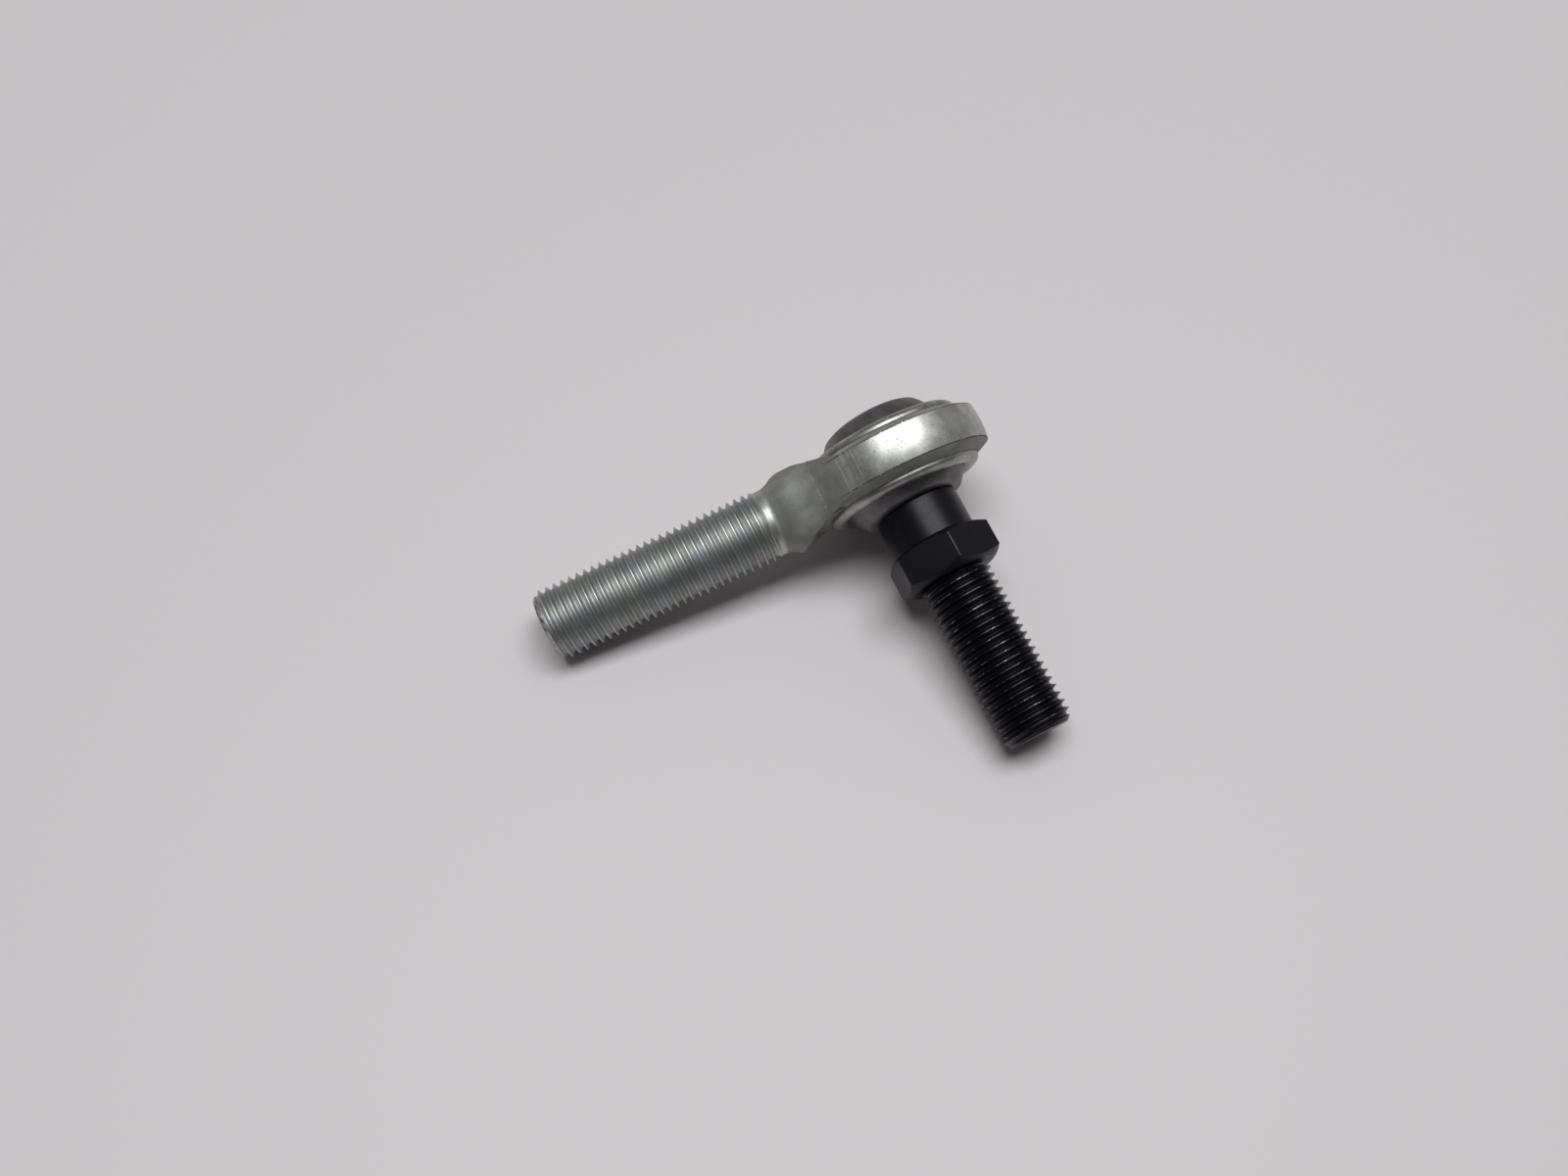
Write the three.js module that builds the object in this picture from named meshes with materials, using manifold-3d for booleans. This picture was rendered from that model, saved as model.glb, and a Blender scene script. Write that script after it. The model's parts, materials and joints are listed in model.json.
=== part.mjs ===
// A studded rod end bearing. A turned steel body has a threaded shank and an eye. A race is swaged into the
// eye and holds a ball, and a threaded stud with a collar and a hexagon is staked into the ball.
//
// Millimetres, +Z up. The rod end lies on a level surface as it comes to rest, on the rim of its eye, the tip
// of its shank and the end of its stud. The origin is on that surface, under the middle of the rod end.
// Inside the eye's own group, +Z is the axis of the eye on the stud's side and -X runs along the shank.

import * as THREE from 'three';
import { mergeVertices } from 'three/addons/utils/BufferGeometryUtils.js';
import Module from 'manifold-3d';

const wasm = await Module();
wasm.setup();

const INCH = 25.4;
const PAST = 1; // how far a solid that is only used to cut or join reaches past what it cuts or joins

// Both threads are the same right-hand thread.
const THREAD_RADIUS = (3 / 8) * INCH / 2;
const THREAD_PITCH = INCH / 24;
const THREAD_DEPTH = 0.6 * THREAD_PITCH;
const THREAD_ROOT_RADIUS = THREAD_RADIUS - THREAD_DEPTH;
const CREST_SHARE = 1 / 8; // of the pitch that is the flat crest
const END_CHAMFER = 0.9;
const TURNS_BEFORE = 2; // spare turns of the helix, which are cut off
const TURNS_AFTER = 1;

// The body, measured from the centre of the ball.
const SHANK_LENGTH = 1.938 * INCH;
const SHANK_THREAD_START = 18.0;
const RELIEF_RADIUS = 4.5;
const RELIEF_START = 16.9;
const NECK_RADIUS = 5.58;
const SHOULDER_ROUND = 4.0; // the neck rounds off towards the relief
const SHOULDER_TURN_DEG = 36;
const EYE_RADIUS = INCH / 2;
const NECK_FILLET = 4.0;
const BORE_RADIUS = 9.95;

// The sides of the eye: a cone from the race's lip out to the rim, and a wall that rises into the neck. On the
// back, away from the stud, the wall is steep.
const FACE_HEIGHT = 3.3;
const FACE_RADIUS = 10.5;
const RIM_EDGE_HEIGHT = 2.35;
const RIM_EDGE_RADIUS = Math.sqrt(EYE_RADIUS ** 2 - RIM_EDGE_HEIGHT ** 2);
const FRONT_WALL = [[12.3, 3.35], [13.2, 4.0], [14.4, 4.8], [16.0, 5.5], [20.0, 6.6]];
const BACK_WALL = [[12.0, 3.35], [12.0, 4.3], [12.4, 5.0], [13.6, 5.5], [20.0, 6.6]];
const RAMP_START = 7.0; // from here towards the shank the rim's edge climbs out of the cone, up a ramp
const FRONT_RAMP_DEG = 15;
const BACK_RAMP_DEG = 27;
const FRONT_GUARD_RADIUS = 6.9; // the cone stops this far from the shank's axis
const BACK_GUARD_RADIUS = 7.3;

// The race and the ball.
const BALL_RADIUS = (0.719 / 2) * INCH;
const BALL_HALF_WIDTH = INCH / 4;
const BALL_EDGE_BREAK = 0.25;
const BALL_PLAY = 0.07;
const RACE_PLAY = 0.05;
const LIP_PROFILE = [[10.48, 3.36], [10.42, 3.75], [10.12, 4.1], [9.75, 4.3], [9.35, 4.37], [8.9, 4.29]];
const LIP_TIP_HEIGHT = 3.95;

// The stud, measured from the centre of the ball.
const STUD_LENGTH = 39.2;
const TAIL_RADIUS = 4.72;
const TAIL_FLARE = 0.55;
const TAIL_RECESS = 0.1; // the staked end is this far inside the face of the ball
const COLLAR_RADIUS = (7 / 16) * INCH / 2;
const COLLAR_GAP = 0.05;
const TAIL_PLAY = 0.05;
const HEXAGON_START = 11.6;
const HEXAGON_END = 16.75;
const HEXAGON_ACROSS_FLATS = INCH / 2;
const HEXAGON_TURNED_RADIUS = 5.7; // where the chamfers begin on the ends of the hexagon
const CHAMFER_SLOPE = Math.tan(THREE.MathUtils.degToRad(28));
const STUD_THREAD_START = 16.3; // inside the hexagon, so the thread is nearly whole where it leaves it
const SEAT_STEP_RADIUS = THREAD_RADIUS + 0.02; // a plain step between the hexagon and the thread
const SEAT_STEP_HEIGHT = 0.25;

// How it lies. The stud is a little way round in its swivel.
const HEADING_DEG = 24.24;
const SHANK_DIP_DEG = 9.4;
const LEAN_DEG = 18.07;
const SWIVEL_DIRECTION_DEG = 77.6;
const SWIVEL_TILT_DEG = 5.86;
const STUD_SPIN_DEG = 6.5;

const THREAD_SEGMENTS = 16;
const EYE_SEGMENTS = 64;
const SHANK_SEGMENTS = 40;
const BALL_SEGMENTS = 40;
const ARC_STEP_DEG = 6;

const degrees = THREE.MathUtils.degToRad;

// A closed mesh as a solid that can be joined and cut.
function solidOf(geometry) {
    const bare = geometry.clone();
    bare.deleteAttribute('normal');
    bare.deleteAttribute('uv');
    const merged = mergeVertices(bare, 1e-5);
    const vertProperties = new Float32Array(merged.getAttribute('position').array);
    const triVerts = new Uint32Array(merged.getIndex().array);
    return new wasm.Manifold(new wasm.Mesh({ numProp: 3, vertProperties, triVerts }));
}

function geometryOf(solid) {
    const mesh = solid.getMesh();
    const geometry = new THREE.BufferGeometry();
    geometry.setAttribute('position', new THREE.BufferAttribute(new Float32Array(mesh.vertProperties), 3));
    geometry.setIndex(new THREE.BufferAttribute(new Uint32Array(mesh.triVerts), 1));
    geometry.computeVertexNormals();
    return geometry;
}

// Turns a closed outline of [radius, height] points about +Z. LatheGeometry itself turns about Y.
function turned(outline, segments) {
    const points = outline.map(([radius, height]) => new THREE.Vector2(radius, height));
    const lathe = new THREE.LatheGeometry(points, segments);
    lathe.rotateX(Math.PI / 2);
    return solidOf(lathe);
}

// Points on an arc, from one angle to another, as [radius, height] pairs.
function arc(centreRadius, centreHeight, size, fromDeg, toDeg) {
    const steps = Math.max(2, Math.ceil(Math.abs(toDeg - fromDeg) / ARC_STEP_DEG));
    const points = [];
    for (let i = 0; i <= steps; i++) {
        const angle = degrees(fromDeg + (toDeg - fromDeg) * i / steps);
        points.push([centreRadius + size * Math.cos(angle), centreHeight + size * Math.sin(angle)]);
    }
    return points;
}

// The outline with its reflection in height zero added, for a ring that is the same on both sides.
function mirrored(upper) {
    const lower = upper.map(([radius, height]) => [radius, -height]).reverse();
    return [...upper, ...lower, upper[0]];
}

// A long right-hand thread about +Z. Each turn has a root, and both edges of a crest. Column 0 of a turn is
// column THREAD_SEGMENTS of the turn before, so the surface is one strip, closed by a fan at each end.
function helix(start, end) {
    const profile = [
        [0, THREAD_ROOT_RADIUS],
        [(1 - CREST_SHARE) / 2, THREAD_RADIUS],
        [(1 + CREST_SHARE) / 2, THREAD_RADIUS],
    ];
    const perTurn = profile.length;
    const turns = Math.ceil((end - start) / THREAD_PITCH) + TURNS_BEFORE + TURNS_AFTER;
    const rows = turns * perTurn;
    const base = start - TURNS_BEFORE * THREAD_PITCH;
    const positions = [];
    const addPoint = (row, column) => {
        const [share, radius] = profile[row % perTurn];
        const angle = 2 * Math.PI * column / THREAD_SEGMENTS;
        const turn = Math.floor(row / perTurn) + share + column / THREAD_SEGMENTS;
        positions.push(radius * Math.cos(angle), radius * Math.sin(angle), base + turn * THREAD_PITCH);
    };
    for (let row = 0; row <= rows; row++) {
        for (let column = 0; column < THREAD_SEGMENTS; column++) addPoint(row, column);
    }
    for (let row = rows + 1; row <= rows + perTurn; row++) addPoint(row, 0);

    const at = (row, column) => {
        if (column === THREAD_SEGMENTS) return at(row + perTurn, 0);
        return row <= rows ? row * THREAD_SEGMENTS + column : (rows + 1) * THREAD_SEGMENTS + row - rows - 1;
    };
    const faces = [];
    for (let row = 0; row < rows; row++) {
        for (let column = 0; column < THREAD_SEGMENTS; column++) {
            faces.push(at(row, column), at(row, column + 1), at(row + 1, column + 1));
            faces.push(at(row, column), at(row + 1, column + 1), at(row + 1, column));
        }
    }
    const closeEnd = (row, height, outward) => {
        const centre = positions.length / 3;
        positions.push(0, 0, height);
        const loop = [];
        for (let column = 0; column <= THREAD_SEGMENTS; column++) loop.push(at(row, column));
        for (let back = perTurn - 1; back >= 0; back--) loop.push(at(row + back, 0));
        for (let i = 0; i + 1 < loop.length; i++) {
            if (outward) faces.push(centre, loop[i], loop[i + 1]);
            else faces.push(centre, loop[i + 1], loop[i]);
        }
    };
    // Each end's loop rises by a pitch, and the tip of its fan is a pitch beyond it.
    closeEnd(0, base - THREAD_PITCH, false);
    closeEnd(rows, base + (turns + 2) * THREAD_PITCH, true);

    const geometry = new THREE.BufferGeometry();
    geometry.setAttribute('position', new THREE.Float32BufferAttribute(positions, 3));
    geometry.setIndex(faces);
    return solidOf(geometry);
}

// A threaded rod along +Z. It fades in from the root at its start and is chamfered at its end.
function threadedRod(start, end) {
    const outside = THREAD_RADIUS + PAST;
    const blank = turned([
        [0, start],
        [THREAD_ROOT_RADIUS, start],
        [outside, start + outside - THREAD_ROOT_RADIUS],
        [outside, end - END_CHAMFER - PAST],
        [THREAD_RADIUS - END_CHAMFER, end],
        [0, end],
    ], SHANK_SEGMENTS);
    return helix(start, end).intersect(blank);
}

// The turned blank of the body along +Z: a ball-shaped eye, a fillet, the neck, the relief and a core that
// the thread is joined to.
function bodyBlank() {
    const filletRadius = NECK_RADIUS + NECK_FILLET;
    const filletHeight = Math.sqrt((EYE_RADIUS + NECK_FILLET) ** 2 - filletRadius ** 2);
    const meetDeg = THREE.MathUtils.radToDeg(Math.atan2(filletHeight, filletRadius));
    const coreRadius = THREAD_ROOT_RADIUS - 0.1;
    return turned([
        [0, -EYE_RADIUS],
        ...arc(0, 0, EYE_RADIUS, -90, meetDeg).slice(1),
        ...arc(filletRadius, filletHeight, NECK_FILLET, 180 + meetDeg, 180).slice(1),
        ...arc(NECK_RADIUS - SHOULDER_ROUND, filletHeight, SHOULDER_ROUND, 0, SHOULDER_TURN_DEG).slice(1),
        [RELIEF_RADIUS, RELIEF_START],
        [RELIEF_RADIUS, SHANK_THREAD_START + THREAD_PITCH / 2],
        [coreRadius, SHANK_THREAD_START + THREAD_PITCH],
        [0, SHANK_THREAD_START + THREAD_PITCH],
    ], SHANK_SEGMENTS);
}

// What is cut off one side of the eye.
function sideCut(wall, rampDeg, guardRadius) {
    const top = EYE_RADIUS + PAST;
    const wide = wall[wall.length - 1][0];
    const wallCut = turned([
        [0, FACE_HEIGHT], [FACE_RADIUS, FACE_HEIGHT], ...wall, [wide, top], [0, top],
    ], EYE_SEGMENTS);
    const slope = (FACE_HEIGHT - RIM_EDGE_HEIGHT) / (RIM_EDGE_RADIUS - FACE_RADIUS);
    const reach = top - FACE_RADIUS;
    const rimCut = turned([
        [FACE_RADIUS, FACE_HEIGHT],
        [FACE_RADIUS + reach, FACE_HEIGHT - reach * slope],
        [FACE_RADIUS + reach, top],
        [FACE_RADIUS, top],
        [FACE_RADIUS, FACE_HEIGHT],
    ], EYE_SEGMENTS);
    const size = 2 * top;
    const ramp = new THREE.BoxGeometry(size, size, size);
    ramp.translate(-size / 2, 0, -size / 2);
    ramp.rotateY(degrees(rampDeg));
    ramp.translate(-RAMP_START, 0, RIM_EDGE_HEIGHT);
    const guard = new THREE.CylinderGeometry(guardRadius, guardRadius, size, SHANK_SEGMENTS);
    guard.rotateZ(Math.PI / 2);
    guard.translate(-size / 2, 0, 0);
    return geometryOf(wallCut.add(rimCut.subtract(solidOf(ramp)).subtract(solidOf(guard))));
}

function bodyGeometry() {
    const alongShank = bodyBlank().add(threadedRod(SHANK_THREAD_START, SHANK_LENGTH));
    const laid = geometryOf(alongShank);
    laid.rotateY(-Math.PI / 2);
    const frontCut = sideCut(FRONT_WALL, FRONT_RAMP_DEG, FRONT_GUARD_RADIUS);
    const backCut = sideCut(BACK_WALL, BACK_RAMP_DEG, BACK_GUARD_RADIUS);
    backCut.rotateX(Math.PI);
    const deep = FACE_HEIGHT + PAST;
    const bore = turned([[0, -deep], [BORE_RADIUS, -deep], [BORE_RADIUS, deep], [0, deep]], EYE_SEGMENTS);
    return geometryOf(solidOf(laid).subtract(solidOf(frontCut)).subtract(solidOf(backCut)).subtract(bore));
}

function raceGeometry() {
    const seat = BALL_RADIUS + BALL_PLAY;
    const barrel = BORE_RADIUS - RACE_PLAY;
    const mouthDeg = THREE.MathUtils.radToDeg(Math.asin(LIP_TIP_HEIGHT / seat));
    const upper = [
        [barrel, LIP_PROFILE[0][1]],
        ...LIP_PROFILE,
        ...arc(0, 0, seat, mouthDeg, 0).slice(0, -1),
    ];
    return geometryOf(turned(mirrored(upper), BALL_SEGMENTS));
}

function ballGeometry() {
    const faceRadius = Math.sqrt(BALL_RADIUS ** 2 - BALL_HALF_WIDTH ** 2);
    const edgeDeg = THREE.MathUtils.radToDeg(Math.asin((BALL_HALF_WIDTH - BALL_EDGE_BREAK) / BALL_RADIUS));
    const bore = TAIL_RADIUS + TAIL_PLAY;
    return geometryOf(turned([
        [bore, BALL_HALF_WIDTH],
        [bore, TAIL_FLARE - BALL_HALF_WIDTH],
        [bore + TAIL_FLARE, -BALL_HALF_WIDTH],
        [faceRadius - BALL_EDGE_BREAK, -BALL_HALF_WIDTH],
        ...arc(0, 0, BALL_RADIUS, -edgeDeg, edgeDeg),
        [faceRadius - BALL_EDGE_BREAK, BALL_HALF_WIDTH],
        [bore, BALL_HALF_WIDTH],
    ], BALL_SEGMENTS));
}

// The hexagon of the stud, with both ends turned down to cones.
function hexagon() {
    const cornerRadius = HEXAGON_ACROSS_FLATS / Math.sqrt(3);
    const height = HEXAGON_END - HEXAGON_START;
    const prism = new THREE.CylinderGeometry(cornerRadius, cornerRadius, height, 6);
    prism.rotateX(Math.PI / 2);
    prism.rotateZ(Math.PI / 2);
    prism.translate(0, 0, HEXAGON_START + height / 2);
    const reach = cornerRadius + PAST;
    const drop = (reach - HEXAGON_TURNED_RADIUS) * CHAMFER_SLOPE;
    const cones = turned([
        [0, HEXAGON_START],
        [HEXAGON_TURNED_RADIUS, HEXAGON_START],
        [reach, HEXAGON_START + drop],
        [reach, HEXAGON_END - drop],
        [HEXAGON_TURNED_RADIUS, HEXAGON_END],
        [0, HEXAGON_END],
    ], 2 * BALL_SEGMENTS);
    return solidOf(prism).intersect(cones);
}

function studGeometry() {
    const tailEnd = TAIL_RECESS - BALL_HALF_WIDTH;
    const core = turned([
        [0, tailEnd],
        [TAIL_RADIUS + TAIL_FLARE - TAIL_RECESS, tailEnd],
        [TAIL_RADIUS, TAIL_FLARE - BALL_HALF_WIDTH],
        [TAIL_RADIUS, BALL_HALF_WIDTH + COLLAR_GAP],
        [COLLAR_RADIUS, BALL_HALF_WIDTH + COLLAR_GAP],
        [COLLAR_RADIUS, HEXAGON_START + PAST],
        [SEAT_STEP_RADIUS, HEXAGON_START + PAST],
        [SEAT_STEP_RADIUS, HEXAGON_END + SEAT_STEP_HEIGHT],
        [0, HEXAGON_END + SEAT_STEP_HEIGHT],
    ], BALL_SEGMENTS);
    return geometryOf(core.add(hexagon()).add(threadedRod(STUD_THREAD_START, STUD_LENGTH)));
}

function piece(name, geometry, colour, roughness, metalness) {
    const material = new THREE.MeshStandardMaterial({ color: colour, roughness, metalness });
    const mesh = new THREE.Mesh(geometry, material);
    mesh.name = name;
    return mesh;
}

// The groups are nested as the pieces move: the race in the eye, the ball in the race, the stud in the ball.
const eye = new THREE.Group();
eye.rotation.set(
    degrees(90 + LEAN_DEG),
    degrees(-SHANK_DIP_DEG),
    degrees(HEADING_DEG),
    'ZYX',
);
eye.add(piece('rod_end_body', bodyGeometry(), 0xb9bcb4, 0.38, 0.9));

const raceTurn = new THREE.Group();
raceTurn.rotation.z = degrees(SWIVEL_DIRECTION_DEG);
raceTurn.add(piece('race', raceGeometry(), 0xb4b8b0, 0.35, 0.9));
eye.add(raceTurn);

const ballTilt = new THREE.Group();
ballTilt.rotation.y = degrees(SWIVEL_TILT_DEG);
ballTilt.add(piece('ball', ballGeometry(), 0x4c4b4d, 0.45, 0.8));
raceTurn.add(ballTilt);

const studTurn = new THREE.Group();
studTurn.rotation.z = degrees(STUD_SPIN_DEG);
studTurn.add(piece('stud', studGeometry(), 0x1d1d20, 0.4, 0.6));
ballTilt.add(studTurn);

const group = new THREE.Group();
group.add(eye);

// Moves the rod end so that it stands on the origin's level, centred over the origin.
group.updateMatrixWorld(true);
const box = new THREE.Box3().setFromObject(group, true);
eye.position.set(-(box.min.x + box.max.x) / 2, -(box.min.y + box.max.y) / 2, -box.min.z);

export default group;
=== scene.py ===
"""A studded rod end bearing: the fine pieces and their materials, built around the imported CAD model.

Every piece is modelled in millimetres in a frame of its own, at the centre of the ball, and then laid in the
row frame. In the eye's frame +Z is the axis of the eye on the stud's side and -X runs along the shank. In the
ball's and the stud's frames +Z runs along the stud.
"""

import json
import math

import bmesh
import bpy
import numpy as np
from mathutils import Matrix, Quaternion, Vector


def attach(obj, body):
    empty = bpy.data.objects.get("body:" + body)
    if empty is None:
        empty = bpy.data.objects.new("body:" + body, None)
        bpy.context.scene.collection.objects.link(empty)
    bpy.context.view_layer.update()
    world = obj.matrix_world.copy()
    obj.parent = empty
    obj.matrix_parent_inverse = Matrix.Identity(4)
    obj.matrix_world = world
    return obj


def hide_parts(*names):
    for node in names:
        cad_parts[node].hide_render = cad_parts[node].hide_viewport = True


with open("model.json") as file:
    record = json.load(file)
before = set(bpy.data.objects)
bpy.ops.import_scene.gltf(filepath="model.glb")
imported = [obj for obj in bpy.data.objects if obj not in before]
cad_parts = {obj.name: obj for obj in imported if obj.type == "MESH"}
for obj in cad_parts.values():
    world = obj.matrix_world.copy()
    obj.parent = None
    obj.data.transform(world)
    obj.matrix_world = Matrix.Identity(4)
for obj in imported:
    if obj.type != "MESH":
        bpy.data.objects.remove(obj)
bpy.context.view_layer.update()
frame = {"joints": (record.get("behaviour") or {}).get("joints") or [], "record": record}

MM = 0.001
INCH = 25.4
joints = {joint["name"]: joint for joint in frame["joints"]}
mounts = {mount["name"]: mount for mount in frame["record"]["mounts"]}
centre = Vector(joints["swivel_direction"]["pos_m"])
eye_axis = Vector(joints["swivel_direction"]["axis"])
tilt_axis = Vector(joints["swivel_tilt"]["axis"])
stud_axis = Vector(joints["stud_spin"]["axis"])
shank_axis = Vector(mounts["shank_end"]["axis"])

# Both threads are right-hand, with the pitch and outside diameter of 3/8-24 UNF. Their profile is made for
# its look, with wide round roots and narrow crests. It isn't the standard's 60 degree form.
THREAD_RADIUS = (3 / 8) * INCH / 2
THREAD_PITCH = INCH / 24
THREAD_DEPTH = 0.6 * THREAD_PITCH
THREAD_ROOT = THREAD_RADIUS - THREAD_DEPTH
CREST_SHARE = 0.12  # of the pitch
ROOT_ROUNDNESS = 1.9  # the power of a flank's curve, where 1 is straight
FLANK_STEPS = 6
END_CHAMFER = 0.9

# How finely the solids are made.
COLUMNS = 144
SPLINE_STEPS = 4
SAME_POINT = 2e-4
SHARP_ANGLE = math.radians(28)

# The body.
SHANK_LENGTH = (Vector(mounts["shank_end"]["pos_m"]) - centre).length / MM
EYE_RADIUS = INCH / 2
BORE_RADIUS = 9.95
NECK_RADIUS = 5.58
NECK_FILLET = 4.0
SHOULDER_ROUND = 4.0
SHOULDER_TURN = 36  # degrees
RELIEF_START = 16.9
RELIEF_RADIUS = 4.47
SHANK_THREAD_START = 17.7
SHANK_RUNOUT = 1.3 * THREAD_PITCH
SHANK_THREAD_PHASE = 18.0 - THREAD_PITCH / 2  # the height of a root on the stud's side of the shank
FACE_HEIGHT = 3.3
FACE_RADIUS = 10.5
RIM_EDGE_HEIGHT = 2.35
RIM_EDGE_RADIUS = math.sqrt(EYE_RADIUS**2 - RIM_EDGE_HEIGHT**2)
FRONT_WALL = [(12.3, 3.35), (13.2, 4.0), (14.4, 4.8), (16.0, 5.5), (20.0, 6.6)]
BACK_WALL = [(12.0, 3.35), (12.0, 4.3), (12.4, 5.0), (13.6, 5.5), (20.0, 6.6)]
RAMP_START = 7.0  # from here towards the shank the edge of the rim climbs out of the cone
FRONT_RAMP = math.radians(15)
BACK_RAMP = math.radians(27)
FRONT_GUARD_RADIUS = 6.9  # the cone stops this far from the shank's axis
BACK_GUARD_RADIUS = 7.3
BURNISH_MARKS = [5.82, 6.3, 6.9, 7.14, 7.74, 10.98]  # from the ball's centre towards the shank
BURNISH_WIDTH = 0.15
BURNISH_DEPTH = 0.015

# The race and the ball.
BALL_RADIUS = (0.719 / 2) * INCH
BALL_HALF_WIDTH = INCH / 4
BALL_EDGE_BREAK = 0.25
BALL_PLAY = 0.07
RACE_PLAY = 0.05
TAIL_PLAY = 0.05
LIP_PROFILE = [(10.48, 3.36), (10.42, 3.75), (10.12, 4.1), (9.75, 4.3), (9.35, 4.37), (8.9, 4.29)]
LIP_TIP_HEIGHT = 3.95

# The stud.
STUD_LENGTH = (Vector(mounts["stud_end"]["pos_m"]) - centre).length / MM
SEAT_HEIGHT = (Vector(mounts["hexagon_seat"]["pos_m"]) - centre).dot(stud_axis) / MM
TAIL_RADIUS = 4.72
TAIL_FLARE = 0.45
TAIL_INSET = 0.1
COLLAR_RADIUS = (7 / 16) * INCH / 2
COLLAR_GAP = 0.05
HEXAGON_START = 11.6
HEXAGON_ACROSS_FLATS = INCH / 2
HEXAGON_TURNED_RADIUS = 5.7
HEXAGON_BLUNT = 0.05
CHAMFER_SLOPE = math.tan(math.radians(28))
CORNER_STEPS = (-1.6, -1.2, -0.8, -0.4, 0, 0.4, 0.8, 1.2, 1.6)  # degrees either side of a hexagon's corner
CORNER_CLEARANCE = 0.12  # of the other columns, as the sine of three times their angle
STUD_SPIN = math.radians(6.5)
STUD_THREAD_PHASE = 16.3
STUD_RUNOUT = 0.4

# Colours.
ZINC_LIGHT = (0.60, 0.61, 0.575)
ZINC_DARK = (0.45, 0.463, 0.432)
ZINC_BLUE = (0.50, 0.54, 0.56)
# Dark marks: real pits, seams, nicks and end dirt, and also the painted shade in the shank thread's roots.
ZINC_DIRT_AND_SHADE = (0.035, 0.035, 0.03)
ZINC_DULL = (0.30, 0.31, 0.29)
# The burnish marks' colour, lightened partly as a painted highlight.
ZINC_BURNISH_AND_SHEEN = (0.95, 0.95, 0.92)
BALL_DARK = (0.135, 0.130, 0.135)
BALL_LIGHT = (0.190, 0.185, 0.190)
OXIDE_DARK = (0.004, 0.0035, 0.006)
OXIDE_LIGHT = (0.011, 0.009, 0.015)
# Worn metal, also used as painted glints on the thread's crests and a painted highlight on the hexagon's
# corners.
OXIDE_WORN_AND_GLINT = (0.14, 0.14, 0.15)
FLOOR_COLOUR = (0.70, 0.66, 0.685)
ROOM_NEAR = (0.048, 0.048, 0.052)
ROOM_FAR = (0.215, 0.215, 0.206)
BACKDROP = (0.60, 0.58, 0.60)

# The camera, the floor, the room and its light, in metres.
CAMERA_FROM_BALL = Vector((-0.0174, -0.0965, 0.1478))
CAMERA_AIM = Vector((-0.0016, 0.0021, 0))
CAMERA_ROLL = math.radians(2.7)
CAMERA_LENS = 31.12
CAMERA_SENSOR = 36
CAMERA_CLIP = 0.005
FLOOR_RADIUS = 3
ROOM_NEAR_TO = -0.7  # where the room's near and far tones start to mix, as the y of a direction
ROOM_FAR_FROM = 0.5
LIGHT_SIZE = (1.3, 0.6)
LIGHT_PLACE = (0.06, 0.12, 1.5)
LIGHT_TURN = math.radians(20)
LIGHT_POWER = 17.6


def axes(x, y, z):
    """The matrix from a piece's own frame, in millimetres, to the row frame, in metres."""
    turn = Matrix((x, y, z)).transposed()
    return Matrix.Translation(centre) @ turn.to_4x4() @ Matrix.Scale(MM, 4)


EYE_FRAME = axes(-shank_axis, eye_axis.cross(-shank_axis), eye_axis)
BALL_FRAME = axes(tilt_axis.cross(stud_axis), tilt_axis, stud_axis)
STUD_FRAME = BALL_FRAME @ Matrix.Rotation(STUD_SPIN, 4, "Z")


# Outlines are lists of (radius, height) points.

def arc(centre_radius, centre_height, size, start, end, steps):
    """Points on an arc, from one angle to another in degrees."""
    angles = [math.radians(start + (end - start) * i / steps) for i in range(steps + 1)]
    return [(centre_radius + size * math.cos(a), centre_height + size * math.sin(a)) for a in angles]


def rounded(corners, steps=4):
    """A line through (radius, height, fillet) corners, each drawn round over its fillet's length."""
    line = []
    for i, (radius, height, fillet) in enumerate(corners):
        at = Vector((radius, height))
        if fillet == 0 or i in (0, len(corners) - 1):
            line.append(tuple(at))
            continue
        before = at + (Vector(corners[i - 1][:2]) - at).normalized() * fillet
        after = at + (Vector(corners[i + 1][:2]) - at).normalized() * fillet
        for k in range(steps + 1):
            t = k / steps
            line.append(tuple(before * (1 - t) ** 2 + at * 2 * t * (1 - t) + after * t**2))
    return line


def spline(points):
    """A smooth line through the points."""
    ends = [points[0], *points, points[-1]]
    line = []
    for a, b, c, d in zip(ends, ends[1:], ends[2:], ends[3:]):
        a, b, c, d = (Vector(p) for p in (a, b, c, d))
        for k in range(SPLINE_STEPS):
            t = k / SPLINE_STEPS
            square = a * 2 - b * 5 + c * 4 - d
            cube = b * 3 - a - c * 3 + d
            line.append(tuple((b * 2 + (c - a) * t + square * t**2 + cube * t**3) / 2))
    return [*line, points[-1]]


def grooved(line, heights, width, depth):
    """The line with a narrow groove at each height. Its own heights rise all the way."""
    def radius_at(height):
        return float(np.interp(height, [h for _, h in line], [r for r, _ in line]))

    kept = [p for p in line if all(abs(p[1] - height) > width / 2 for height in heights)]
    for height in heights:
        for side in (-width / 2, 0, width / 2):
            kept.append((radius_at(height + side) - (0 if side else depth), height + side))
    return sorted(kept, key=lambda p: p[1])


def even_angles(count):
    """Angles all the way round, with both 0 and a full turn."""
    return [2 * math.pi * i / count for i in range(count + 1)]


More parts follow.
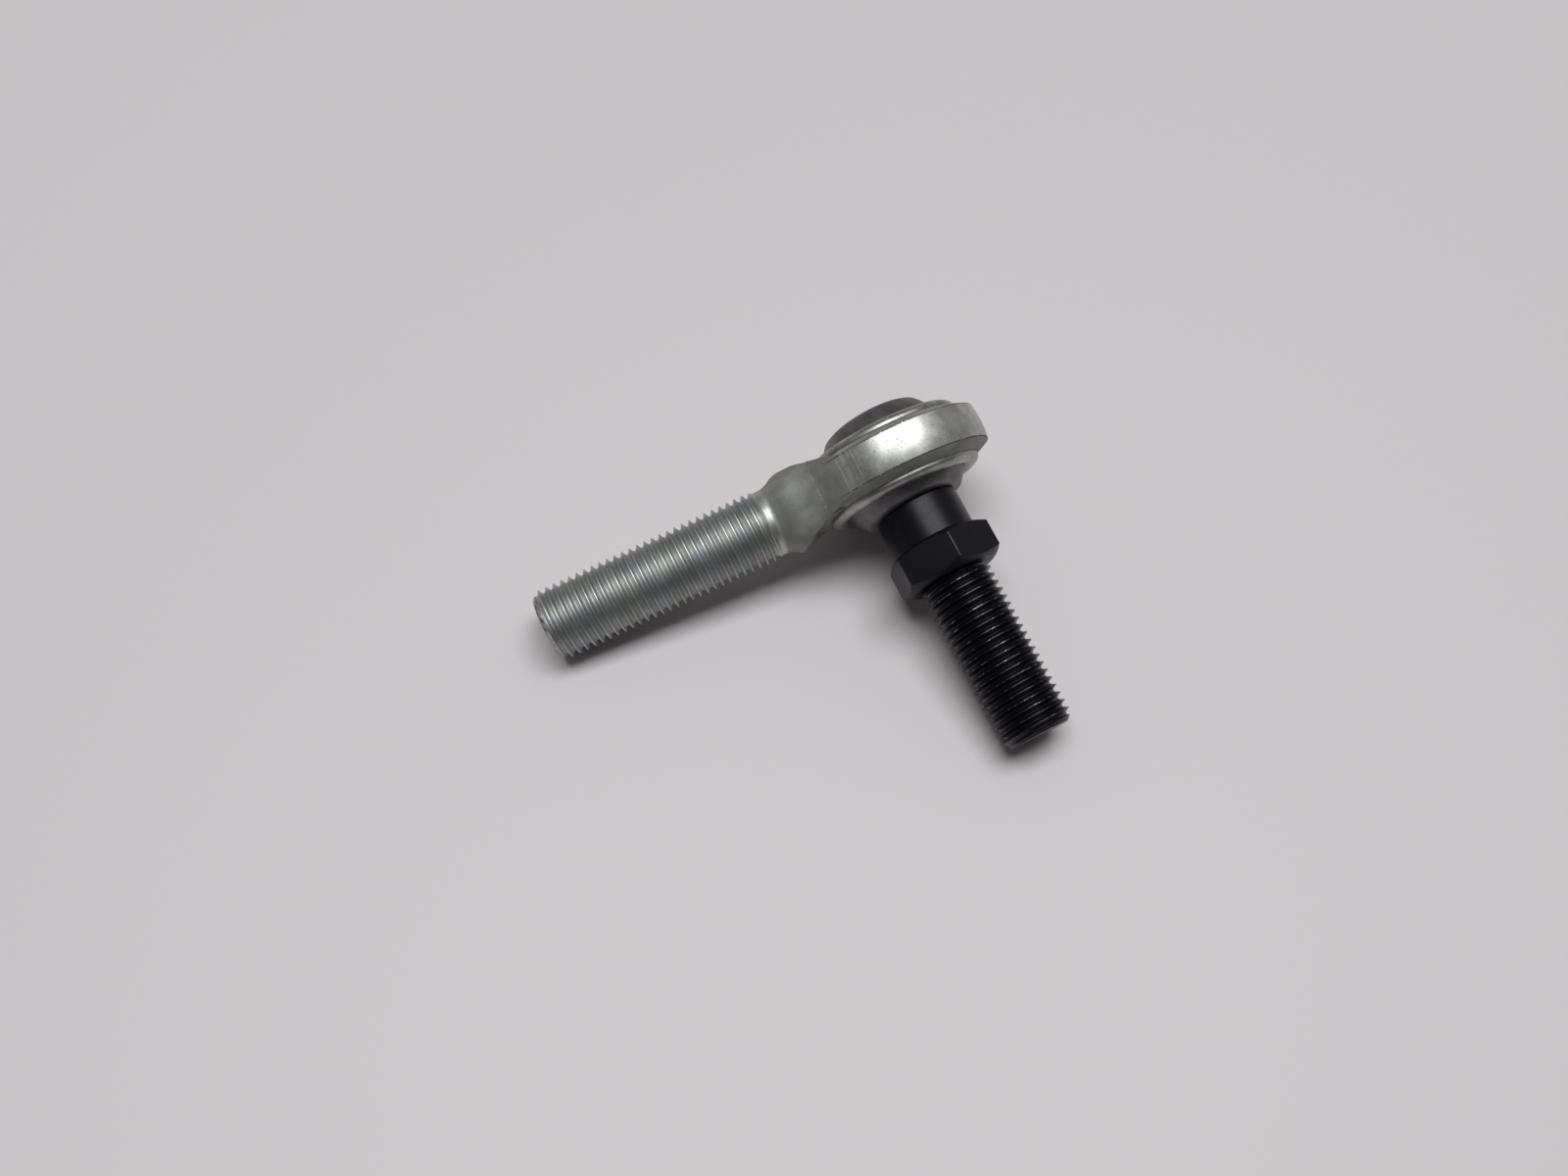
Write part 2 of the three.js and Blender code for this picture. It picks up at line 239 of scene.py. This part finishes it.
def swept(outline_at, angles):
    """A closed solid about +Z. outline_at(angle) gives its outline there, with as many points at every
    angle. An outline starts and ends on the axis, or its last point is its first one. The points of the last
    angle fall on those of the first, though on a thread they are a turn further along the outline."""
    grid = np.array([
        [(radius * math.cos(a), radius * math.sin(a), height) for radius, height in outline_at(a)]
        for a in angles
    ])
    columns, rows = grid.shape[:2]
    mesh = bmesh.new()
    points = [mesh.verts.new(p) for p in grid.reshape(-1, 3)]
    for column in range(columns - 1):
        for row in range(rows - 1):
            corner = column * rows + row
            mesh.faces.new([points[i] for i in (corner, corner + rows, corner + rows + 1, corner + 1)])
    bmesh.ops.remove_doubles(mesh, verts=mesh.verts, dist=SAME_POINT)
    bmesh.ops.dissolve_degenerate(mesh, edges=mesh.edges, dist=SAME_POINT)
    bmesh.ops.recalc_face_normals(mesh, faces=mesh.faces)
    return as_object(mesh)


def turned(outline):
    return swept(lambda angle: outline, even_angles(COLUMNS))


def as_object(mesh):
    data = bpy.data.meshes.new("work")
    mesh.to_mesh(data)
    mesh.free()
    thing = bpy.data.objects.new("work", data)
    bpy.context.scene.collection.objects.link(thing)
    return thing


def laid(thing, matrix):
    thing.data.transform(matrix)
    return thing


def combine(base, other, operation):
    """Joins base with another solid or cuts it by one, and uses the other one up."""
    modifier = base.modifiers.new("combine", "BOOLEAN")
    modifier.operation = operation
    modifier.solver = "EXACT"
    modifier.object = other
    result = bpy.data.meshes.new_from_object(base.evaluated_get(bpy.context.evaluated_depsgraph_get()))
    base.modifiers.clear()
    base.data = result
    bpy.data.objects.remove(other)
    return base


def thread_line():
    """One turn of the thread as (share of the pitch, radius) points, from one root's middle to the next."""
    rising = [
        (
            (1 - CREST_SHARE) / 2 * i / FLANK_STEPS,
            THREAD_ROOT + THREAD_DEPTH * (i / FLANK_STEPS) ** ROOT_ROUNDNESS,
        )
        for i in range(FLANK_STEPS + 1)
    ]
    return rising + [(1 - share, radius) for share, radius in reversed(rising[1:])]


def threaded(angle, start, end, phase, blank_radius, runout):
    """The outline of a thread from start to its chamfered end, at one angle. It grows out of a plain rod of
    blank_radius over the length of its runout. At angle zero, a root is at phase."""
    line = thread_line()
    first = math.floor((start - phase) / THREAD_PITCH) - 1
    last = math.ceil((end - phase) / THREAD_PITCH)
    heights = np.array([
        phase + (turn + share + angle / (2 * math.pi)) * THREAD_PITCH
        for turn in range(first, last + 1)
        for share, _ in line
    ])
    radii = np.tile([radius for _, radius in line], last + 1 - first)
    clamped = np.clip(heights, start, end)
    radii = np.interp(clamped, heights, radii)
    grown = np.clip((clamped - start) / runout, 0, 1)
    grown = grown * grown * (3 - 2 * grown)
    radii = blank_radius + (radii - blank_radius) * grown
    radii = np.minimum(radii, THREAD_RADIUS - END_CHAMFER + (end - clamped))
    return list(zip(radii, clamped))


def body_blank():
    """The bar that the body is cut from: ball-shaped eye, fillet, neck, relief and thread."""
    fillet_radius = NECK_RADIUS + NECK_FILLET
    fillet_height = math.sqrt((EYE_RADIUS + NECK_FILLET) ** 2 - fillet_radius**2)
    meet = math.degrees(math.atan2(fillet_height, fillet_radius))
    bar = [
        *arc(0, 0, EYE_RADIUS, -90, meet, 96),
        *arc(fillet_radius, fillet_height, NECK_FILLET, 180 + meet, 180, 24)[1:],
        *arc(NECK_RADIUS - SHOULDER_ROUND, fillet_height, SHOULDER_ROUND, 0, SHOULDER_TURN, 12)[1:],
    ]
    bar += rounded([
        (*bar[-1], 0),
        (RELIEF_RADIUS, RELIEF_START, 0.3),
        (RELIEF_RADIUS, SHANK_THREAD_START, 0),
    ], steps=6)[1:]
    bar[0] = (0, -EYE_RADIUS)
    bar = grooved(bar, BURNISH_MARKS, BURNISH_WIDTH, BURNISH_DEPTH)

    def outline_at(angle):
        thread = threaded(
            angle, SHANK_THREAD_START, SHANK_LENGTH, SHANK_THREAD_PHASE, RELIEF_RADIUS, SHANK_RUNOUT,
        )
        return [*bar, *thread, (0, SHANK_LENGTH)]

    blank = swept(outline_at, even_angles(COLUMNS))
    return laid(blank, Matrix.Rotation(-math.pi / 2, 4, "Y"))


def side_cuts(wall, ramp_turn, guard_radius):
    """What is cut off one side of the eye: a flat with a wall up into the neck, and a cone out to the rim.
    Towards the neck the cone runs out on a ramp, and it stops at the guard's radius from the shank's axis."""
    top = EYE_RADIUS + 1
    flat = turned([
        (0, FACE_HEIGHT), (FACE_RADIUS, FACE_HEIGHT), *spline(wall), (wall[-1][0], top), (0, top),
    ])
    slope = (FACE_HEIGHT - RIM_EDGE_HEIGHT) / (RIM_EDGE_RADIUS - FACE_RADIUS)
    reach = top - FACE_RADIUS
    cone = turned([
        (FACE_RADIUS, FACE_HEIGHT),
        (FACE_RADIUS + reach, FACE_HEIGHT - reach * slope),
        (FACE_RADIUS + reach, top),
        (FACE_RADIUS, top),
        (FACE_RADIUS, FACE_HEIGHT),
    ])
    size = 2 * top
    box = bmesh.new()
    bmesh.ops.create_cube(box, size=size, matrix=Matrix.Translation((-size / 2, 0, -size / 2)))
    ramp = laid(as_object(box),
        Matrix.Translation((-RAMP_START, 0, RIM_EDGE_HEIGHT)) @ Matrix.Rotation(ramp_turn, 4, "Y"))
    guard = turned([(0, 0), (guard_radius, 0), (guard_radius, size), (0, size)])
    laid(guard, Matrix.Rotation(-math.pi / 2, 4, "Y"))
    return [flat, combine(combine(cone, ramp, "DIFFERENCE"), guard, "DIFFERENCE")]


def body_solid():
    solid = body_blank()
    front = side_cuts(FRONT_WALL, FRONT_RAMP, FRONT_GUARD_RADIUS)
    back = side_cuts(BACK_WALL, BACK_RAMP, BACK_GUARD_RADIUS)
    for cut in front + [laid(cut, Matrix.Rotation(math.pi, 4, "X")) for cut in back]:
        combine(solid, cut, "DIFFERENCE")
    deep = FACE_HEIGHT + 1
    bore = turned([(0, -deep), (BORE_RADIUS, -deep), (BORE_RADIUS, deep), (0, deep)])
    return combine(solid, bore, "DIFFERENCE")


def race_solid():
    seat = BALL_RADIUS + BALL_PLAY
    barrel = BORE_RADIUS - RACE_PLAY
    mouth = math.degrees(math.asin(LIP_TIP_HEIGHT / seat))
    upper = [
        (barrel, LIP_PROFILE[0][1]),
        *spline(LIP_PROFILE),
        *arc(0, 0, seat, mouth, 0, 12)[:-1],
    ]
    lower = [(radius, -height) for radius, height in reversed(upper)]
    return turned([*upper, *lower, upper[0]])


def ball_solid():
    face_radius = math.sqrt(BALL_RADIUS**2 - BALL_HALF_WIDTH**2)
    edge = math.degrees(math.asin((BALL_HALF_WIDTH - BALL_EDGE_BREAK) / BALL_RADIUS))
    bore = TAIL_RADIUS + TAIL_PLAY
    return turned([
        (bore, BALL_HALF_WIDTH),
        (bore, TAIL_FLARE - BALL_HALF_WIDTH),
        (bore + TAIL_FLARE, -BALL_HALF_WIDTH),
        (face_radius - BALL_EDGE_BREAK, -BALL_HALF_WIDTH),
        *arc(0, 0, BALL_RADIUS, -edge, edge, 64),
        (face_radius - BALL_EDGE_BREAK, BALL_HALF_WIDTH),
        (bore, BALL_HALF_WIDTH),
    ])


def hexagon_radius(angle):
    """How far the hexagon's side is from its axis. The corners are a little blunt."""
    from_flat = (angle % math.radians(60)) - math.radians(30)
    corner = HEXAGON_ACROSS_FLATS / math.sqrt(3) - HEXAGON_BLUNT
    return min(HEXAGON_ACROSS_FLATS / 2 / math.cos(from_flat), corner)


def stud_solid():
    corner_angles = [
        math.radians(60 * corner + step)
        for corner in range(6)
        for step in CORNER_STEPS
    ]
    columns = sorted(
        {a % (2 * math.pi) for a in corner_angles}
        | {a for a in even_angles(COLUMNS) if abs(math.sin(3 * a)) > CORNER_CLEARANCE}
        | {2 * math.pi}
    )

    def outline_at(angle):
        side = hexagon_radius(angle)
        drop = (side - HEXAGON_TURNED_RADIUS) * CHAMFER_SLOPE
        solid = rounded([
            (0, TAIL_INSET - BALL_HALF_WIDTH, 0),
            (TAIL_RADIUS + TAIL_FLARE - TAIL_INSET, TAIL_INSET - BALL_HALF_WIDTH, 0.1),
            (TAIL_RADIUS, TAIL_FLARE - BALL_HALF_WIDTH, 0),
            (TAIL_RADIUS, BALL_HALF_WIDTH + COLLAR_GAP, 0),
            (COLLAR_RADIUS, BALL_HALF_WIDTH + COLLAR_GAP, 0.2),
            (COLLAR_RADIUS, HEXAGON_START, 0.05),
            (HEXAGON_TURNED_RADIUS, HEXAGON_START, 0.03),
            (side, HEXAGON_START + drop, 0.12),
            (side, SEAT_HEIGHT - drop, 0.12),
            (HEXAGON_TURNED_RADIUS, SEAT_HEIGHT, 0.1),
            (THREAD_ROOT, SEAT_HEIGHT, 0),
        ])
        thread = threaded(angle, SEAT_HEIGHT, STUD_LENGTH, STUD_THREAD_PHASE, THREAD_ROOT, STUD_RUNOUT)
        return [*solid, *thread[1:], (0, STUD_LENGTH)]

    return swept(outline_at, columns)


# Materials. Each reads the piece's own millimetre coordinates, which piece() keeps in the attribute "local".

class Nodes:
    """A short way to write a node tree. Every call adds a node and gives back its output."""

    def __init__(self, name):
        self.material = bpy.data.materials.new(name)
        self.material.use_nodes = True
        self.tree = self.material.node_tree
        self.shader = self.tree.nodes["Principled BSDF"]

    def add(self, kind, inputs, output=0, **settings):
        node = self.tree.nodes.new("ShaderNode" + kind)
        for name, value in settings.items():
            setattr(node, name, value)
        for name, value in inputs.items():
            self.set(node.inputs[name], value)
        return node.outputs[output]

    def set(self, socket, value):
        if isinstance(value, bpy.types.NodeSocket):
            self.tree.links.new(value, socket)
        else:
            socket.default_value = value

    def shade(self, **values):
        for name, value in values.items():
            self.set(self.shader.inputs[name.replace("_", " ")], value)
        return self.material

    def local(self):
        return self.add("Attribute", {}, "Vector", attribute_name="local")

    def scaled(self, vector, x, y, z):
        return self.add("VectorMath", {0: vector, 1: (x, y, z)}, operation="MULTIPLY")

    def axis(self, vector, name):
        return self.add("SeparateXYZ", {0: vector}, name)

    def math(self, operation, *values):
        return self.add("Math", dict(enumerate(values)), operation=operation)

    def noise(self, vector, scale, detail=2.0, roughness=0.5):
        return self.add("TexNoise", {
            "Vector": vector, "Scale": scale, "Detail": detail, "Roughness": roughness,
        }, "Fac")

    def ramp(self, value, low, high, to_low=0.0, to_high=1.0):
        """A smooth step of value from low to high."""
        return self.add("MapRange", {
            "Value": value, "From Min": low, "From Max": high, "To Min": to_low, "To Max": to_high,
        }, interpolation_type="SMOOTHSTEP")

    def colour(self, share, first, second):
        """A mix of two colours, each a socket or three numbers."""
        first, second = (c if isinstance(c, bpy.types.NodeSocket) else (*c, 1) for c in (first, second))
        return self.add("Mix", {0: share, 6: first, 7: second}, 2, data_type="RGBA")

    def bump(self, height, depth):
        """Relief of a depth in millimetres over the full range of height."""
        return self.add("Bump", {"Height": height, "Distance": depth * MM, "Strength": 1.0})


def round_distance(nodes, local, first, second):
    """How far a point is from the piece's third axis."""
    return nodes.math("POWER", nodes.math("ADD",
        nodes.math("POWER", nodes.axis(local, first), 2.0),
        nodes.math("POWER", nodes.axis(local, second), 2.0)), 0.5)


def zinc_body_material():
    """Bright zinc plate, a little cloudy and bluer on the thread: pits on the rim, dark seams along its
    edges, a painted shade in the thread's roots and dirt on the shank's end."""
    nodes = Nodes("zinc_body")
    local = nodes.local()
    x, z = nodes.axis(local, "X"), nodes.axis(local, "Z")
    from_eye = round_distance(nodes, local, "X", "Y")
    from_shank = round_distance(nodes, local, "Y", "Z")
    height = nodes.math("ABSOLUTE", z)

    cloud = nodes.noise(local, 0.45, 4.0)
    grain = nodes.noise(local, 5.0, 5.0, 0.65)
    colour = nodes.colour(nodes.ramp(cloud, 0.35, 0.65), ZINC_DARK, ZINC_LIGHT)
    tint = nodes.noise(nodes.scaled(local, 1.0, 0.6, 0.6), 0.8, 3.0)
    on_thread = nodes.ramp(x, -17.2, -18.0)
    colour = nodes.colour(
        nodes.math("MULTIPLY", on_thread, nodes.ramp(tint, 0.4, 0.62)), colour, ZINC_BLUE)

    # Pits are longer along the axis of the eye, and crowd on parts of the rim.
    spots = nodes.noise(nodes.scaled(local, 1.0, 1.0, 0.6), 8.0, 1.0)
    crowd = nodes.noise(local, 0.30, 1.0)
    pits = nodes.ramp(nodes.math("ADD", spots, nodes.math("MULTIPLY", crowd, 0.25)), 0.83, 0.87)
    on_rim = nodes.math("MULTIPLY", nodes.ramp(from_eye, 11.6, 12.0), nodes.ramp(x, -10.0, -5.0))
    pits = nodes.math("MULTIPLY", pits, on_rim)

    # A broken dark seam where the rim meets the turned sides.
    off_edge = nodes.math("ABSOLUTE", nodes.math("SUBTRACT", height, RIM_EDGE_HEIGHT - 0.02))
    dashes = nodes.ramp(nodes.noise(nodes.scaled(local, 1.0, 1.0, 0.2), 2.6, 3.0), 0.30, 0.48)
    seam = nodes.math("MULTIPLY",
        nodes.ramp(off_edge, 0.12, 0.04, 0.0, 0.85), nodes.ramp(from_eye, 12.2, 12.4))
    seam = nodes.math("MULTIPLY", nodes.math("MULTIPLY", seam, dashes), nodes.ramp(x, -9.5, -8.5))

    # Painted shade: the thread's roots are darkened as if shaded in their hollows.
    painted_root_shade = nodes.math("MULTIPLY", on_thread,
        nodes.ramp(from_shank, THREAD_ROOT + 0.02, THREAD_ROOT + 0.2, 0.15, 0.0))
    on_end = nodes.ramp(x, END_CHAMFER * 0.7 - SHANK_LENGTH, END_CHAMFER * 0.4 - SHANK_LENGTH)
    end_dirt = nodes.math("MULTIPLY", on_end, nodes.ramp(nodes.noise(local, 1.7, 3.0), 0.42, 0.62, 0.0, 0.8))
    # This mask joins the real pits, seams and end dirt with the painted shade in the thread's roots.
    dirt_and_shade = nodes.math("MAXIMUM",
        nodes.math("MAXIMUM", pits, seam), nodes.math("MAXIMUM", painted_root_shade, end_dirt))
    colour = nodes.colour(dirt_and_shade, colour, ZINC_DIRT_AND_SHADE)

    # The neck and the sides of the eye are duller and stained. The burnish marks are bright, partly from
    # their own burnish and partly as a painted highlight, but not on the sides.
    on_neck = nodes.math("MULTIPLY", nodes.ramp(x, -6.0, -9.0), nodes.ramp(x, -17.6, -16.8))
    on_side = nodes.math("MULTIPLY",
        nodes.ramp(height, RIM_EDGE_HEIGHT, RIM_EDGE_HEIGHT + 0.1), nodes.ramp(x, -13.0, -11.0))
    dull = nodes.math("MAXIMUM",
        nodes.math("MAXIMUM", on_neck, on_side), nodes.math("MULTIPLY", on_thread, 0.3))
    stain = nodes.ramp(nodes.noise(nodes.scaled(local, 0.5, 1.0, 1.0), 0.33, 2.0), 0.35, 0.65, 0.5, 0.85)
    colour = nodes.colour(nodes.math("MULTIPLY", dull, stain), colour, ZINC_DULL)
    # Painted highlight over real burnish marks: the marks are lightened to stand in for their shine.
    burnish_and_sheen = 0.0
    for distance in BURNISH_MARKS:
        off_mark = nodes.math("ABSOLUTE", nodes.math("ADD", x, distance))
        burnish_and_sheen = nodes.math("MAXIMUM", burnish_and_sheen, nodes.ramp(off_mark, 0.06, 0.02))
    burnish_and_sheen = nodes.math("MULTIPLY", burnish_and_sheen, nodes.ramp(nodes.noise(local, 0.9, 2.0), 0.38, 0.55))
    burnish_and_sheen = nodes.math("MULTIPLY", burnish_and_sheen, nodes.math("SUBTRACT", 1.0, on_side))
    colour = nodes.colour(nodes.math("MULTIPLY", burnish_and_sheen, 0.5), colour, ZINC_BURNISH_AND_SHEEN)
    roughness = nodes.ramp(grain, 0.3, 0.7, 0.36, 0.50)
    roughness = nodes.math("ADD", roughness, nodes.math("MULTIPLY", dull, 0.38))
    roughness = nodes.math("ADD", roughness, nodes.math("MULTIPLY", dirt_and_shade, 0.3))
    roughness = nodes.math("SUBTRACT", roughness, nodes.math("MULTIPLY", on_thread, 0.08))
    brushing = nodes.noise(nodes.scaled(local, 1.0, 0.12, 0.12), 4.5, 4.0, 0.6)
    relief = nodes.math("SUBTRACT", nodes.math("MULTIPLY", grain, 0.25), pits)
    relief = nodes.math("ADD", relief, nodes.math("MULTIPLY", nodes.math("MULTIPLY", brushing, on_neck), 1.1))
    return nodes.shade(
        Base_Color=colour, Metallic=1.0, Roughness=roughness, Normal=nodes.bump(relief, 0.03))


def zinc_race_material():
    """The same plate on the race, with the fine rings that turning leaves and a few nicks."""
    nodes = Nodes("zinc_race")
    local = nodes.local()
    from_eye = round_distance(nodes, local, "X", "Y")
    cloud = nodes.noise(local, 0.5, 4.0)
    rings = nodes.noise(nodes.add("CombineXYZ", {0: from_eye, 1: nodes.axis(local, "Z")}), 9.0, 3.0)
    nicks = nodes.ramp(nodes.noise(nodes.scaled(local, 0.9, 1.2, 1.0), 2.3, 1.0), 0.74, 0.77)
    colour = nodes.colour(nodes.ramp(cloud, 0.35, 0.65), ZINC_DULL, ZINC_DARK)
    colour = nodes.colour(nicks, colour, ZINC_DIRT_AND_SHADE)
    relief = nodes.math("SUBTRACT", nodes.math("MULTIPLY", rings, 0.5), nicks)
    return nodes.shade(
        Base_Color=colour, Metallic=1.0, Roughness=nodes.ramp(rings, 0.3, 0.7, 0.34, 0.48),
        Normal=nodes.bump(relief, 0.02))


def ball_material():
    """Dark, evenly satin bearing steel."""
    nodes = Nodes("ball_steel")
    local = nodes.local()
    grain = nodes.noise(local, 6.0, 5.0, 0.6)
    cloud = nodes.noise(local, 0.6, 3.0)
    colour = nodes.colour(nodes.ramp(cloud, 0.3, 0.7), BALL_DARK, BALL_LIGHT)
    return nodes.shade(
        Base_Color=colour, Metallic=0.9, Roughness=nodes.ramp(grain, 0.3, 0.7, 0.40, 0.52),
        Normal=nodes.bump(grain, 0.006))


def black_oxide_material():
    """Black oxide: a fine speckle, rings from turning on the collar, and worn crests and corners, lightened
    partly by wear and partly as a painted glint on the crests and a painted highlight on the corners.
    """
    nodes = Nodes("black_oxide")
    local = nodes.local()
    z = nodes.axis(local, "Z")
    from_axis = round_distance(nodes, local, "X", "Y")
    on_collar = nodes.ramp(z, HEXAGON_START, HEXAGON_START - 0.05)
    on_thread = nodes.ramp(z, SEAT_HEIGHT + 0.1, SEAT_HEIGHT + 0.5)
    grain = nodes.noise(local, 7.0, 5.0, 0.65)
    rings = nodes.noise(nodes.scaled(local, 0.35, 0.35, 6.0), 1.6, 4.0, 0.6)
    # Worn corners and crests, partly real wear and partly painted light: the crests carry painted glints and
    # the hexagon's corners a painted highlight.
    worn_corner_and_highlight = nodes.math("MULTIPLY", nodes.ramp(from_axis, 7.20, 7.27),
        nodes.ramp(nodes.noise(local, 1.4, 3.0), 0.35, 0.55))
    worn_crest_and_glint = nodes.math("MULTIPLY", nodes.math("MULTIPLY", on_thread,
        nodes.ramp(from_axis, THREAD_RADIUS - 0.04, THREAD_RADIUS)),
        nodes.ramp(nodes.noise(local, 1.6, 4.0), 0.52, 0.70))
    worn_and_glint = nodes.math("MAXIMUM", nodes.math("MULTIPLY", worn_corner_and_highlight, 0.1), worn_crest_and_glint)
    colour = nodes.colour(nodes.ramp(grain, 0.35, 0.7), OXIDE_DARK, OXIDE_LIGHT)
    colour = nodes.colour(worn_and_glint, colour, OXIDE_WORN_AND_GLINT)
    roughness = nodes.ramp(nodes.math("MULTIPLY", rings, on_collar), 0.3, 0.6, 0.44, 0.34)
    roughness = nodes.math("SUBTRACT", roughness, nodes.math("MULTIPLY", on_thread, 0.14))
    roughness = nodes.math("SUBTRACT", roughness, nodes.math("MULTIPLY", worn_and_glint, 0.12))
    relief = nodes.math("ADD", nodes.math("MULTIPLY", grain, 0.4),
        nodes.math("MULTIPLY", nodes.math("MULTIPLY", rings, on_collar), 0.5))
    return nodes.shade(
        Base_Color=colour, Metallic=0.35, Roughness=roughness, Specular_IOR_Level=0.35,
        Normal=nodes.bump(relief, 0.02))


def floor_material():
    nodes = Nodes("floor")
    return nodes.shade(Base_Color=(*FLOOR_COLOUR, 1), Roughness=0.55)


def without_slivers(solid):
    """Merges the slivers that the cuts leave, which would be stray faces in an exported mesh."""
    mesh = bmesh.new()
    mesh.from_mesh(solid.data)
    bmesh.ops.remove_doubles(mesh, verts=mesh.verts, dist=SAME_POINT)
    bmesh.ops.dissolve_degenerate(mesh, edges=mesh.edges, dist=SAME_POINT)
    mesh.to_mesh(solid.data)
    mesh.free()


def piece(solid, name, matrix, material, body, node):
    """Names a finished solid, keeps its own coordinates for its material, and lays it in the row frame."""
    without_slivers(solid)
    data = solid.data
    solid.name = data.name = name
    local = np.empty(len(data.vertices) * 3, np.float32)
    data.vertices.foreach_get("co", local)
    data.attributes.new("local", "FLOAT_VECTOR", "POINT").data.foreach_set("vector", local)
    data.transform(matrix)
    data.shade_smooth()
    data.set_sharp_from_angle(angle=SHARP_ANGLE)
    data.materials.clear()
    data.materials.append(material)
    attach(solid, body)
    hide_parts(node)


piece(body_solid(), "rod_end_body_fine", EYE_FRAME, zinc_body_material(), "body", "rod_end_body")
piece(race_solid(), "race_fine", EYE_FRAME, zinc_race_material(), "race", "race")
piece(ball_solid(), "ball_fine", BALL_FRAME, ball_material(), "ball", "ball")
piece(stud_solid(), "stud_fine", STUD_FRAME, black_oxide_material(), "stud", "stud")


def camera():
    data = bpy.data.cameras.new("camera")
    data.lens = CAMERA_LENS
    data.sensor_width = CAMERA_SENSOR
    data.clip_start = CAMERA_CLIP
    thing = bpy.data.objects.new("camera", data)
    thing.location = centre + CAMERA_FROM_BALL
    thing.rotation_mode = "QUATERNION"
    look = (CAMERA_AIM - thing.location).to_track_quat("-Z", "Y")
    thing.rotation_quaternion = look @ Quaternion((0, 0, 1), CAMERA_ROLL)
    bpy.context.scene.collection.objects.link(thing)
    bpy.context.scene.camera = thing


def floor():
    mesh = bmesh.new()
    bmesh.ops.create_circle(mesh, cap_ends=True, segments=64, radius=FLOOR_RADIUS)
    thing = as_object(mesh)
    thing.name = "floor"
    thing.data.materials.append(floor_material())


def surroundings():
    """A long ceiling light almost overhead, in a room that is darker on the viewer's side. The camera sees a
    plain pale backdrop in place of the room."""
    world = bpy.data.worlds.new("studio")
    world.use_nodes = True
    tree = world.node_tree
    background = tree.nodes["Background"]
    direction = tree.nodes.new("ShaderNodeTexCoord")
    split = tree.nodes.new("ShaderNodeSeparateXYZ")
    across = tree.nodes.new("ShaderNodeMapRange")
    across.interpolation_type = "SMOOTHSTEP"
    across.inputs["From Min"].default_value = ROOM_NEAR_TO
    across.inputs["From Max"].default_value = ROOM_FAR_FROM
    room = tree.nodes.new("ShaderNodeMix")
    room.data_type = "RGBA"
    room.inputs[6].default_value = (*ROOM_NEAR, 1)
    room.inputs[7].default_value = (*ROOM_FAR, 1)
    seen = tree.nodes.new("ShaderNodeMix")
    seen.data_type = "RGBA"
    seen.inputs[7].default_value = (*BACKDROP, 1)
    path = tree.nodes.new("ShaderNodeLightPath")
    tree.links.new(direction.outputs["Generated"], split.inputs[0])
    tree.links.new(split.outputs["Y"], across.inputs["Value"])
    tree.links.new(across.outputs[0], room.inputs[0])
    tree.links.new(path.outputs["Is Camera Ray"], seen.inputs[0])
    tree.links.new(room.outputs[2], seen.inputs[6])
    tree.links.new(seen.outputs[2], background.inputs["Color"])
    bpy.context.scene.world = world
    bpy.context.scene.view_settings.view_transform = "Standard"

    light = bpy.data.lights.new("ceiling_light", "AREA")
    light.shape = "RECTANGLE"
    light.size, light.size_y = LIGHT_SIZE
    light.energy = LIGHT_POWER
    thing = bpy.data.objects.new("ceiling_light", light)
    thing.location = LIGHT_PLACE
    thing.rotation_euler = (0, 0, LIGHT_TURN)
    bpy.context.scene.collection.objects.link(thing)


camera()
floor()
surroundings()
